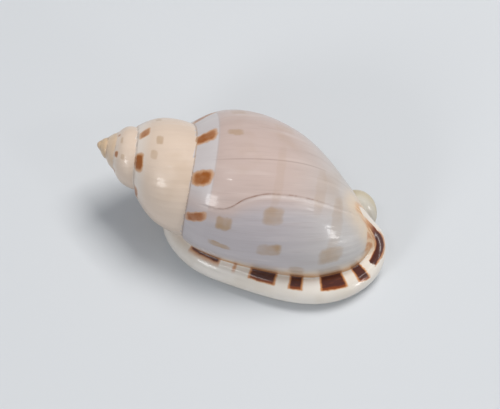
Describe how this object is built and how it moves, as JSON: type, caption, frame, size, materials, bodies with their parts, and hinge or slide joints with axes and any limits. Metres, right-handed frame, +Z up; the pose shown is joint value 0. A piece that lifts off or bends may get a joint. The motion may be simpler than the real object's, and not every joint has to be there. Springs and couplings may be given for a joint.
{
  "type": "bonnet shell",
  "caption": "Glossy right-handed sea snail shell with a short spire, a spotted rolled lip and an open mouth, lying mouth down as a natural ornament.",
  "frame": {"origin": "middle of the footprint, on the surface that the shell rests on", "axes": "+Z up with the mouth facing down, +X towards the canal along the shell's length, the rolled lip on the -Y side"},
  "size_m": [0.065, 0.0358, 0.0303],
  "materials": {
    "shell": "natural glossy shell, cream spire, lilac-grey body with faint tan squares, ivory lip with dark brown bars"
  },
  "bodies": {
    "root": {"shell": "shell"}
  },
  "joints": []
}
